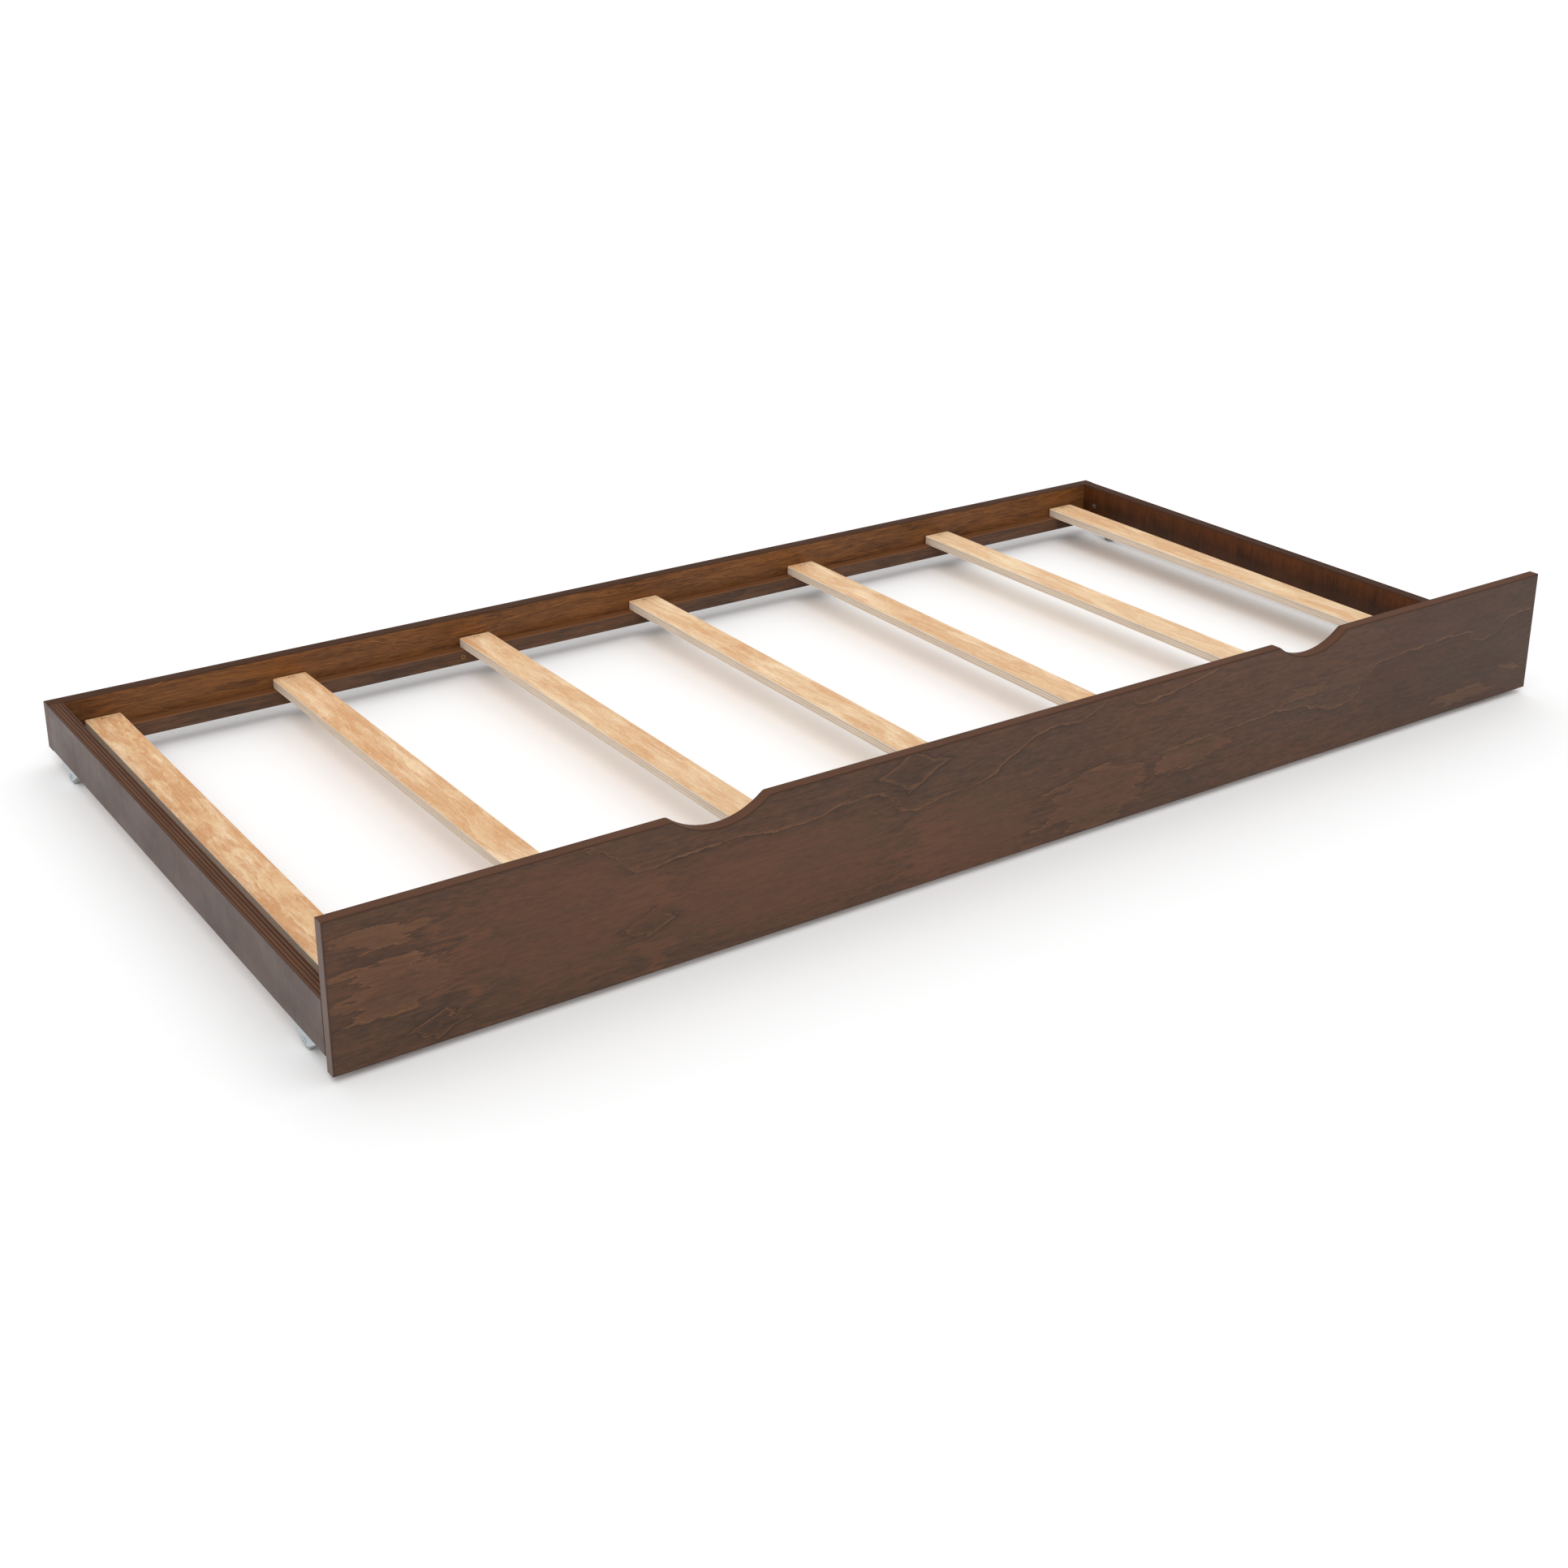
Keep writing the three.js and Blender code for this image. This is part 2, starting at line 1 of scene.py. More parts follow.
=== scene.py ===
"""The looks of a rolling under-bed trundle frame: stained plywood, natural plywood slats and zinc castors."""

import math

import bpy
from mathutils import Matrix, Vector


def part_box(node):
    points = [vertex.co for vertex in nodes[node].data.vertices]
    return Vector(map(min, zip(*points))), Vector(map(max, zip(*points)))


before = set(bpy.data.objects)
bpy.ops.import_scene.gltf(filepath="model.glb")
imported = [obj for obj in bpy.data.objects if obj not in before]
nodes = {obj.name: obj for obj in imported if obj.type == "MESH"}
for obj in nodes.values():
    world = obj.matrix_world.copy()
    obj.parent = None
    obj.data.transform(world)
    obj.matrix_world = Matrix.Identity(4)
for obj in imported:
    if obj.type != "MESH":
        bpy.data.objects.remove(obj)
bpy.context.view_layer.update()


# ---------- node trees ----------
class Tree:
    """A material's node tree, written as plain calls.

    A value is a number, a colour or another node's output."""

    def __init__(self, name):
        self.material = bpy.data.materials.new(name)
        self.material.use_nodes = True
        self.tree = self.material.node_tree
        self.tree.nodes.clear()
        self.shader = self.tree.nodes.new("ShaderNodeBsdfPrincipled")
        output = self.tree.nodes.new("ShaderNodeOutputMaterial")
        self.tree.links.new(self.shader.outputs["BSDF"], output.inputs["Surface"])
        coordinates = self.tree.nodes.new("ShaderNodeTexCoord").outputs
        self.place = coordinates["Object"]
        spread = self.node("ShaderNodeSeparateXYZ", {"Vector": self.place})
        self.x, self.y, self.z = spread.outputs
        self.along = dict(zip("XYZ", spread.outputs))
        facing = self.node("ShaderNodeSeparateXYZ", {"Vector": coordinates["Normal"]})
        self.facing = dict(zip("XYZ", facing.outputs))

    def feed(self, socket, value):
        if isinstance(value, bpy.types.NodeSocket):
            self.tree.links.new(value, socket)
        else:
            socket.default_value = value

    def node(self, kind, inputs, **settings):
        made = self.tree.nodes.new(kind)
        for name, value in settings.items():
            setattr(made, name, value)
        for name, value in inputs.items():
            self.feed(made.inputs[name], value)
        return made

    def set(self, **inputs):
        for name, value in inputs.items():
            self.feed(self.shader.inputs[name.replace("_", " ")], value)

    def bump(self, height, strength, distance):
        made = self.node("ShaderNodeBump", {"Strength": strength, "Distance": distance, "Height": height})
        self.set(Normal=made.outputs["Normal"])

    # numbers
    def math(self, operation, a, b=0.0):
        return self.node("ShaderNodeMath", {0: a, 1: b}, operation=operation).outputs[0]

    def add(self, a, b):
        return self.math("ADD", a, b)

    def less(self, a, b):
        return self.math("SUBTRACT", a, b)

    def times(self, a, b):
        return self.math("MULTIPLY", a, b)

    def size(self, value):
        return self.math("ABSOLUTE", value)

    def either(self, factor, a, b):
        """Between two plain numbers."""
        return self.add(self.times(a, self.less(1.0, factor)), self.times(b, factor))

    def fit(self, value, low, high, to_low=0.0, to_high=1.0, smooth=False):
        made = self.node("ShaderNodeMapRange", {
            "Value": value, "From Min": low, "From Max": high, "To Min": to_low, "To Max": to_high,
        }, interpolation_type="SMOOTHSTEP" if smooth else "LINEAR")
        return made.outputs["Result"]

    def curve(self, value, points):
        """A smooth curve through points, for a value between the first point's and the last's."""
        made = self.node("ShaderNodeFloatCurve", {})
        (start, _), (end, _) = points[0], points[-1]
        low, high = min(y for _, y in points), max(y for _, y in points)
        curve = made.mapping.curves[0]
        spots = [((x - start) / (end - start), (y - low) / (high - low)) for x, y in points]
        curve.points[0].location, curve.points[1].location = spots[0], spots[-1]
        for spot in spots[1:-1]:
            curve.points.new(*spot)
        made.mapping.update()
        self.feed(made.inputs["Value"], self.fit(value, start, end))
        return self.fit(made.outputs[0], 0.0, 1.0, low, high)

    # textures
    def vector(self, x, y, z):
        return self.node("ShaderNodeCombineXYZ", {"X": x, "Y": y, "Z": z}).outputs[0]

    def stretched(self, per_metre):
        """The place on the object, scaled so that noise has that many features a metre along each axis."""
        x, y, z = per_metre
        return self.vector(self.times(self.x, x), self.times(self.y, y), self.times(self.z, z))

    def noise(self, vector, scale=1.0, detail=2.0, roughness=0.5):
        inputs = {"Vector": vector, "Scale": scale, "Detail": detail, "Roughness": roughness}
        return self.node("ShaderNodeTexNoise", inputs).outputs[0]

    def random(self, value):
        return self.node("ShaderNodeTexWhiteNoise", {"W": value}, noise_dimensions="1D").outputs["Value"]

    # colours
    def mix(self, factor, a, b):
        colour_a, colour_b = 6, 7    # by number, because its number and vector sockets have the same names
        made = self.node("ShaderNodeMix", {0: factor, colour_a: a, colour_b: b}, data_type="RGBA")
        return made.outputs[2]

    def tint(self, colour, tone, value, start, full, strength, smooth=False):
        """Mixes a tone in from where a value is at start, up to the strength where it reaches full."""
        return self.mix(self.times(self.fit(value, start, full, smooth=smooth), strength), colour, tone)


def rgb(red, green, blue):
    """A colour from its 0 to 255 screen values, as the linear colour that a shader takes."""
    def linear(value):
        value /= 255
        return value / 12.92 if value <= 0.04045 else ((value + 0.055) / 1.055) ** 2.4
    return (linear(red), linear(green), linear(blue), 1.0)


# ---------- wood ----------
class Grain:
    """Where a point lies on a veneer: along the grain and across it, warped so that nothing runs straight.

    Each seed gives another sheet."""

    WARP_PER_METRE = (5.0, 16.0)
    WARP_ALONG, WARP_ACROSS = 0.07, 0.024    # metres
    RAGGED_PER_METRE = (16.0, 95.0)
    RAGGED_RINGS = 0.8

    def __init__(self, t, along, across, seed, warp=1.0):
        self.t, self.seed = t, seed
        place = self.spread(along, across, self.WARP_PER_METRE, 0.0)
        drift = t.node("ShaderNodeTexNoise", {"Vector": place, "Scale": 1.0, "Detail": 3.0}).outputs[1]
        split = t.node("ShaderNodeSeparateXYZ", {"Vector": drift}).outputs
        self.along = t.add(along, t.times(t.less(split[0], 0.5), self.WARP_ALONG * warp))
        self.across = t.add(across, t.times(t.less(split[1], 0.5), self.WARP_ACROSS * warp))

    def spread(self, along, across, per_metre, offset):
        t = self.t
        return t.vector(t.times(along, per_metre[0]), t.times(across, per_metre[1]), self.seed + offset)

    def noise(self, per_metre, offset, detail=3.0, roughness=0.55, shift=0.0):
        """Noise with that many features a metre along and across the grain. Each offset gives another noise."""
        across = self.t.add(self.across, shift) if shift else self.across
        place = self.spread(self.along, across, per_metre, offset)
        return self.t.noise(place, detail=detail, roughness=roughness)

    def rings(self, count, stretch, shift=0.0):
        """Which growth ring the rotary knife has met: level lines of a slow height along the grain."""
        t = self.t
        slow = self.noise(stretch, 1.0, detail=2.0, roughness=0.42, shift=shift)
        ragged = self.noise(self.RAGGED_PER_METRE, 2.0, detail=4.0, roughness=0.62, shift=shift)
        return t.add(t.times(slow, count), t.times(t.less(ragged, 0.5), self.RAGGED_RINGS))

    def lines(self, count, stretch, width):
        """A growth ring's number and phase, and 1 on the dark and on the light side of its thin edge."""
        t = self.t
        here = self.rings(count, stretch)
        ring = t.math("FLOOR", here)
        sides = []
        for shift in (width, -width):
            beside = t.math("FLOOR", self.rings(count, stretch, shift))
            sides.append(t.math("MINIMUM", t.size(t.less(ring, beside)), 1.0))
        return ring, t.math("FRACT", here), sides[0], sides[1]


class Drawing:
    """Places single marks on a veneer, with edges torn along the grain.

    Places and sizes are along the grain and across it, in metres."""

    OVAL, DIAMOND = 2.0, 0.8
    EYE_RIMS = ("dark", 0.50, 0.12, 0.35), ("light", 0.90, 0.11, 0.5), ("dark", 1.04, 0.10, 0.9)
    TRAIL_WIDTH = 0.0016
    TRAIL_SHADE = 0.014    # how far the dark reaches below a trail
    TRAIL_END = 0.03       # a trail fades out over this length

    def __init__(self, grain):
        t = self.t = grain.t
        lobes = t.less(grain.noise((16.0, 42.0), 31.0, detail=2.0), 0.5)
        teeth = t.less(grain.noise((7.0, 90.0), 33.0, detail=6.0, roughness=0.72), 0.5)
        ragged = t.less(grain.noise((42.0, 120.0), 37.0, detail=5.0, roughness=0.7), 0.5)
        # each noise is between -0.5 and 0.5, and moves an outline by its share of so many metres
        self.smooth = t.add(grain.along, t.add(t.times(lobes, 0.05), t.times(ragged, 0.035)))
        self.torn = t.add(grain.along, t.add(t.times(lobes, 0.16), t.times(teeth, 0.26)))
        self.across = t.add(grain.across, t.add(t.times(ragged, 0.016), t.times(lobes, 0.012)))
        self.fade = grain.noise((12.0, 40.0), 41.0)

    def reach(self, along, middle, half, power):
        """0 in the middle of a mark and 1 on its outline."""
        t = self.t
        total = 0.0
        for place, centre, size in zip((along, self.across), middle, half):
            ratio = t.size(t.times(t.less(place, centre), 1 / size))
            total = t.add(total, t.math("POWER", ratio, power))
        return total

    def band(self, value, middle, half):
        """1 where a value is at the middle, down to 0 at half away from it."""
        t = self.t
        return t.fit(t.size(t.less(value, middle)), half, 0.0, smooth=True)

    def zone(self, colour, middle, half, tone, strength):
        """A broad part of the sheet in another tone: where the stain took a little differently, and also
        painted shade when given the dark tone.
        """
        reach = self.reach(self.torn, middle, half, self.OVAL)
        return self.t.tint(colour, tone, reach, 1.6, 0.3, strength, smooth=True)

    def patch(self, colour, middle, half, inside, rim, strength):
        """A torn oval of other wood, with a thin light rim and a dark line around it."""
        t = self.t
        reach = self.reach(self.torn, middle, half, self.OVAL)
        core = t.fit(reach, 1.08, 0.92, smooth=True)
        halo = t.times(t.fit(reach, 2.2, 1.1, smooth=True), t.fit(reach, 0.95, 1.05))
        broken = t.fit(self.fade, 0.35, 0.6, 0.35, 1.0)
        colour = t.mix(t.times(halo, 0.3), colour, rim)
        colour = t.mix(t.times(core, t.times(broken, strength)), colour, inside)
        colour = t.mix(t.times(self.band(reach, 0.88, 0.13), t.times(broken, 0.6)), colour, inside)
        return t.mix(t.times(self.band(reach, 1.08, 0.12), t.times(broken, 0.6)), colour, rim)

    def eye(self, colour, middle, half, light, dark):
        """A knot's outline: pointed diamonds inside one another."""
        t = self.t
        reach = self.reach(self.smooth, middle, half, self.DIAMOND)
        broken = t.fit(self.fade, 0.35, 0.6, 0.3, 1.0)
        colour = t.tint(colour, dark, reach, 1.7, 1.0, 0.25, smooth=True)
        for tone, level, width, strength in self.EYE_RIMS:
            rim = t.times(self.band(reach, level, width), t.times(broken, strength))
            colour = t.mix(rim, colour, dark if tone == "dark" else light)
        return colour

    def trail(self, colour, points, light, dark):
        """A growth ring's edge that wanders through the points: a light line with a dark one under it."""
        t = self.t
        width = self.TRAIL_WIDTH
        above = t.less(self.across, t.curve(self.smooth, points))
        (start, _), (end, _) = points[0], points[-1]
        ends = t.times(t.fit(self.smooth, start, start + self.TRAIL_END),
                       t.fit(self.smooth, end, end - self.TRAIL_END))
        ends = t.times(ends, t.fit(self.fade, 0.35, 0.55, 0.2, 1.0))
        shade = t.times(t.fit(above, -self.TRAIL_SHADE, 0.0), t.fit(above, 0.001, -0.001))
        colour = t.mix(t.times(t.times(shade, ends), 0.35), colour, dark)
        colour = t.mix(t.times(t.times(self.band(above, width, width), ends), 0.7), colour, light)
        return t.mix(t.times(t.times(self.band(above, -0.6 * width, width), ends), 0.8), colour, dark)


RING_LINE = 0.0011    # metres, the width of a growth ring's dark or light edge
VENEER_BUMP = 0.0004


def stained_face(t, along, across, seed, tones, cloud=0.5, feather=0.5, dash=0.45, line=0.3, rings=6.0,
                 stretch=(1.7, 9.0), warp=1.0, fibre=1.0, drawing=None):
    """The dark stained veneer's colour and height.

    tones are its cool, plain, warm, dark and light colours. cloud, feather, dash and line are the strengths
    of its blotches, fine streaks, pores and ring lines, and fibre is how fine the streaks are."""
    cool, plain, warm, dark, light = tones
    grain = Grain(t, along, across, seed, warp)
    broad = grain.noise((2.6, 9.0), 11.0)
    cloudy = grain.noise((10.0, 55.0), 17.0, detail=5.0, roughness=0.62)
    feathery = grain.noise((20.0 / fibre, 170.0 * fibre), 13.0, detail=6.0, roughness=0.72)
    speckle = grain.noise((60.0 / fibre, 300.0 * fibre), 23.0, detail=4.0, roughness=0.7)
    colour = t.mix(t.fit(broad, 0.38, 0.62, smooth=True), cool, plain)
    colour = t.tint(colour, warm, cloudy, 0.44, 0.70, cloud)
    colour = t.tint(colour, dark, cloudy, 0.48, 0.28, cloud)
    for streaks in (feathery, speckle):
        colour = t.tint(colour, warm, streaks, 0.50, 0.68, feather)
        colour = t.tint(colour, dark, streaks, 0.50, 0.32, feather)
    if drawing:
        colour = drawing(Drawing(grain), colour, tones)
    if line:
        ring, phase, under, over = grain.lines(rings, stretch, RING_LINE)
        fade = t.fit(grain.noise((7.0, 30.0), 19.0), 0.42, 0.60, smooth=True)
        own = t.random(t.add(ring, seed))
        colour = t.tint(colour, warm, own, 0.55, 1.0, 0.35 * cloud)
        colour = t.tint(colour, dark, phase, 0.55, 1.0, 0.3 * cloud, smooth=True)
        colour = t.mix(t.times(under, t.times(fade, line)), colour, dark)
        colour = t.mix(t.times(over, t.times(fade, line)), colour, light)

    # pores: short dark dashes in loose groups
    fine = grain.noise((95.0, 1300.0), 3.0, detail=2.0, roughness=0.6)
    group = t.fit(grain.noise((14.0, 60.0), 29.0), 0.4, 0.62, smooth=True)
    dashes = t.times(t.fit(fine, 0.53, 0.68, smooth=True), t.fit(group, 0.0, 1.0, 0.25, 1.0))
    colour = t.mix(t.times(dashes, dash), colour, dark)
    return colour, t.add(t.times(dashes, -0.7), t.times(feathery, 0.4))


def ply_edge(t, through, low, high, layers, seed, run, tones, wobble=0.012, contrast=1.0, gap_tone=0.7):
    """The plies seen on a board's edge: side grain, end grain and the glue lines between them.

    through is the place through the thickness, and run the place along the edge."""
    side_grain, end_grain, glue = tones

    def noise(run_per_metre, through_per_metre, offset, roughness=0.5):
        place = t.vector(t.times(run, run_per_metre), t.times(through, through_per_metre), seed + offset)
        return t.noise(place, detail=3.0, roughness=roughness)

    drift = t.noise(t.vector(t.times(run, 3.0), seed, 0.0), detail=3.0)
    depth = t.add(t.fit(through, low, high), t.times(t.less(drift, 0.5), wobble))
    ply = t.times(depth, float(layers))
    number, within = t.math("FLOOR", ply), t.math("FRACT", ply)
    even = t.math("MODULO", number, 2.0)
    grain = noise(45.0, 2600.0, 0.0, roughness=0.65)
    speck = noise(420.0, 1500.0, 5.0, roughness=0.7)
    broad = noise(9.0, 150.0, 7.0)
    own = t.random(t.add(number, seed + 0.5))
    lit = t.tint(side_grain, end_grain, grain, 0.35, 0.7, 0.45)
    end = t.tint(end_grain, glue, speck, 0.4, 0.7, 0.5)
    colour = t.mix(t.times(even, contrast), lit, end)
    colour = t.mix(t.times(own, 0.3), colour, side_grain)
    colour = t.tint(colour, end_grain, broad, 0.45, 0.7, 0.4)
    below, above = t.fit(within, 0.10, 0.04, smooth=True), t.fit(within, 0.94, 0.99, smooth=True)
    gap = t.math("MAXIMUM", below, above)
    glue_breaks = t.noise(t.vector(t.times(run, 25.0), t.times(ply, 2.0), seed + 9.0), detail=3.0)
    seen = t.times(gap, t.fit(glue_breaks, 0.3, 0.6))
    colour = t.mix(t.times(seen, gap_tone * contrast), colour, glue)
    return colour, t.add(t.times(gap, -1.0), t.times(speck, 0.4))


def dress(node, material):
    nodes[node].data.materials.clear()
    nodes[node].data.materials.append(material)


def finish_wood(node, t, colour, height, rough, specular, bump=0.25):
    t.set(Base_Color=colour, Roughness=rough, Specular_IOR_Level=specular)
    t.bump(height, bump, VENEER_BUMP)
    dress(node, t.material)


# the stains: cool, plain, warm, dark and light
PANEL_TONES = (rgb(71, 52, 38), rgb(79, 52, 37), rgb(99, 63, 42), rgb(51, 35, 25), rgb(118, 79, 51))
INNER_TONES = (rgb(98, 62, 34), rgb(112, 70, 37), rgb(142, 90, 45), rgb(56, 33, 19), rgb(176, 116, 62))
SIDE_TONES = (rgb(68, 51, 43), rgb(74, 53, 43), rgb(92, 62, 46), rgb(52, 37, 30), rgb(108, 76, 58))
DEEP_TONES = (rgb(68, 39, 20), rgb(78, 43, 22), rgb(100, 56, 28), rgb(42, 25, 15), rgb(124, 72, 36))
CLEAT_TONES = (rgb(68, 49, 36), rgb(80, 55, 39), rgb(106, 70, 45), rgb(46, 31, 23), rgb(118, 80, 50))
# painted light: the lighter orange of a cleat's lit top
CLEAT_TOP_PAINTED_LIGHT = rgb(120, 74, 38)

# the plies: side grain, end grain and glue
PANEL_PLIES = (rgb(98, 68, 52), rgb(74, 50, 38), rgb(36, 24, 18))
SIDE_PLIES = (rgb(110, 76, 56), rgb(58, 38, 28), rgb(30, 20, 15))
BOARD_PLIES = (rgb(86, 57, 41), rgb(50, 32, 24), rgb(26, 17, 13))
# painted sheen: a lighter grey for the board ends that face along X
BOARD_END_PAINTED_SHEEN = rgb(111, 95, 88)

OTHER_SHEET = 5.0    # metres along the grain, so that a board's two faces are different sheets
TOP_EDGE_SHEEN = 0.04
SIDE_STRETCH = (2.0, 12.0)    # the side boards' growth rings a metre, along the grain and across it


def stained_board(node, face_axis, grain_axis, layers, seed, tones, plies, contrast=1.0, sheen=0.3,
                  other=None, **figure):
    """A board of stained plywood, with veneer on the two faces across face_axis and plies on the edges.

    other is the stain of the face that looks along face_axis, where it differs."""
    t = Tree(node + "_stain")
    low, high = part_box(node)
    thickness = "XYZ".index(face_axis)
    across_axis = ({"X", "Y", "Z"} - {face_axis, grain_axis}).pop()
    back = t.math("GREATER_THAN", t.facing[face_axis], 0.0)
    along = t.add(t.along[grain_axis], t.times(back, OTHER_SHEET))
    if other:
        tones = tuple(t.mix(back, tone, other_tone) for tone, other_tone in zip(tones, other))
    face, face_height = stained_face(t, along, t.along[across_axis], seed, tones, **figure)
    run = t.add(t.along["X" if face_axis == "Y" else "Y"], t.z)
    edge, edge_height = ply_edge(t, t.along[face_axis], low[thickness], high[thickness], layers, seed, run,
                                 plies, contrast=contrast)
    turned = t.size(t.facing[face_axis])
    at_edge = t.fit(turned, 0.92, 0.7, smooth=True)
    # the rounded arris between face and edge is darkened towards the glue colour
    arris = t.times(t.fit(turned, 0.995, 0.93, smooth=True), t.fit(turned, 0.35, 0.75, smooth=True))
    # painted sheen: the ends that face along X are greyed and lightened, standing in for their reflection
    edge = t.tint(edge, BOARD_END_PAINTED_SHEEN, t.size(t.facing["X"]), 0.7, 0.92, 0.75, smooth=True)
    glue = plies[2]
    colour = t.mix(t.times(arris, 0.65), t.mix(at_edge, face, edge), glue)
    mottle = t.noise(t.stretched((9.0, 9.0, 30.0)), detail=3.0)
    rough = t.add(t.fit(mottle, 0.3, 0.7, 0.38, 0.50), t.times(at_edge, 0.15))
    edge_sheen = t.either(t.size(t.facing["Z"]), sheen, TOP_EDGE_SHEEN)
    finish_wood(node, t, colour, t.either(at_edge, face_height, edge_height), rough,
                t.either(at_edge, sheen, edge_sheen))


# the figure of the front panel, and the painted shade over its right end, as middles and half sizes along it
# and above the floor
PANEL_PAINTED_SHADE = (0.95, 0.10), (0.34, 0.24), 0.38    # painted shade that darkens the right end, against its stronger sheen
PANEL_ZONES = (    # reddish parts of the sheet, with their strength
    ((-0.830, 0.100), (0.016, 0.070), 0.7),
    ((-0.700, 0.110), (0.110, 0.080), 0.35),
    ((-0.584, 0.105), (0.026, 0.038), 0.6),
    ((-0.584, 0.030), (0.020, 0.034), 0.6),
    ((-0.400, 0.085), (0.170, 0.062), 0.4),
    ((-0.190, 0.062), (0.030, 0.060), 0.6),
    ((-0.100, 0.060), (0.090, 0.060), 0.35),
)
PANEL_PATCHES = (    # torn ovals, with their strength
    ((-0.927, 0.158), (0.050, 0.015), 0.45),
    ((-0.905, 0.096), (0.062, 0.034), 0.28),
    ((0.090, 0.056), (0.076, 0.044), 0.15),
    ((0.262, 0.074), (0.060, 0.022), 0.22),
    ((0.824, 0.030), (0.038, 0.011), 0.3),
    ((0.934, 0.055), (0.020, 0.008), 0.4),
    ((0.475, 0.116), (0.032, 0.009), 0.25),
)
PANEL_TRAILS = (    # the points that the edges of growth rings wander through
    ((-0.690, 0.203), (-0.634, 0.172), (-0.600, 0.146), (-0.575, 0.140)),
    ((-0.590, 0.136), (-0.570, 0.143), (-0.500, 0.148), (-0.370, 0.143), (-0.297, 0.153), (-0.255, 0.146),
     (-0.235, 0.122), (-0.180, 0.113)),
    ((-0.205, 0.112), (-0.187, 0.119), (-0.108, 0.125), (-0.050, 0.151), (0.000, 0.169), (0.050, 0.169),
     (0.110, 0.196)),
    ((0.120, 0.185), (0.140, 0.177), (0.174, 0.168), (0.237, 0.175), (0.320, 0.190)),
    ((0.200, 0.088), (0.330, 0.093), (0.437, 0.096), (0.547, 0.075), (0.630, 0.125), (0.820, 0.130),
     (0.860, 0.112), (0.930, 0.138), (0.990, 0.138)),
)
PANEL_EYES = (
    ((-0.585, 0.0745), (0.044, 0.018)),
    ((-0.213, 0.170), (0.062, 0.030)),
    ((-0.850, 0.033), (0.048, 0.018)),
)


def panel_drawing(drawing, colour, tones):
    """The marks on the front panel's outer sheet of veneer, and painted shade over its right end."""
    _, _, warm, dark, light = tones
    # painted shade over the right end
    middle, half, strength = PANEL_PAINTED_SHADE
    colour = drawing.zone(colour, middle, half, dark, strength)
    for middle, half, strength in PANEL_ZONES:
        colour = drawing.zone(colour, middle, half, warm, strength)
    for middle, half, strength in PANEL_PATCHES:
        colour = drawing.patch(colour, middle, half, light, dark, strength)
    for points in PANEL_TRAILS:
        colour = drawing.trail(colour, points, light, dark)
    for middle, half in PANEL_EYES:
        colour = drawing.eye(colour, middle, half, light, dark)
    return colour


def painted_shade_and_light(drawing, colour, tones):
    """Painted shade and painted light on the right board's inner face: darker at its foot, warmer at its top.
    """
    _, _, warm, dark, _ = tones
    t = drawing.t
    inner = t.math("LESS_THAN", t.facing["X"], 0.0)
    height = t.add(t.z, t.times(t.less(drawing.fade, 0.5), 0.03))
    # painted shade: the foot of the inner face is darkened
    painted_shade_at_foot = t.times(t.fit(height, 0.076, 0.062, smooth=True), 0.55)
    # painted light: the top of the inner face is warmed
    painted_light_at_top = t.times(t.fit(height, 0.072, 0.090, smooth=True), 0.35)
    colour = t.mix(t.times(inner, painted_shade_at_foot), colour, dark)
    return t.mix(t.times(inner, painted_light_at_top), colour, warm)


stained_board("front_panel", "Y", "X", layers=7, seed=3.0, tones=PANEL_TONES, plies=PANEL_PLIES,
              contrast=0.35, sheen=0.25, cloud=0.3, feather=0.5, line=0.0, warp=0.3, drawing=panel_drawing)
stained_board("back_board", "Y", "X", layers=9, seed=17.0, tones=INNER_TONES, plies=BOARD_PLIES,
              other=PANEL_TONES, contrast=0.6, sheen=0.2, rings=8.0, cloud=0.65, feather=0.6, line=0.4,
              dash=0.6, fibre=1.7)
stained_board("left_side_board", "X", "Z", layers=9, seed=29.0, tones=SIDE_TONES, plies=SIDE_PLIES,
              other=DEEP_TONES, sheen=0.34, stretch=SIDE_STRETCH, cloud=0.5, feather=0.75, line=0.15, dash=0.3)
# the right board's inner face gets painted shade at its foot and painted light at its top
stained_board("right_side_board", "X", "Z", layers=13, seed=41.0, tones=DEEP_TONES, plies=BOARD_PLIES,
              other=SIDE_TONES, sheen=0.15, stretch=SIDE_STRETCH, cloud=0.6, feather=0.45, line=0.2,
              drawing=painted_shade_and_light)


def cleat_wood(node, seed):
    """A solid stained rail: its grain runs along X on every face."""
    t = Tree(node + "_stain")
    around = t.add(t.y, t.z)
    face, height = stained_face(t, t.x, around, seed, CLEAT_TONES, cloud=0.6, feather=0.6, fibre=2.0)
    # painted light: the upward faces are tinted lighter orange, as lit from above
    colour = t.tint(face, CLEAT_TOP_PAINTED_LIGHT, t.facing["Z"], 0.2, 0.8, 0.6, smooth=True)
    finish_wood(node, t, colour, height, rough=0.5, specular=0.25)


cleat_wood("front_cleat", seed=51.0)
cleat_wood("back_cleat", seed=57.0)

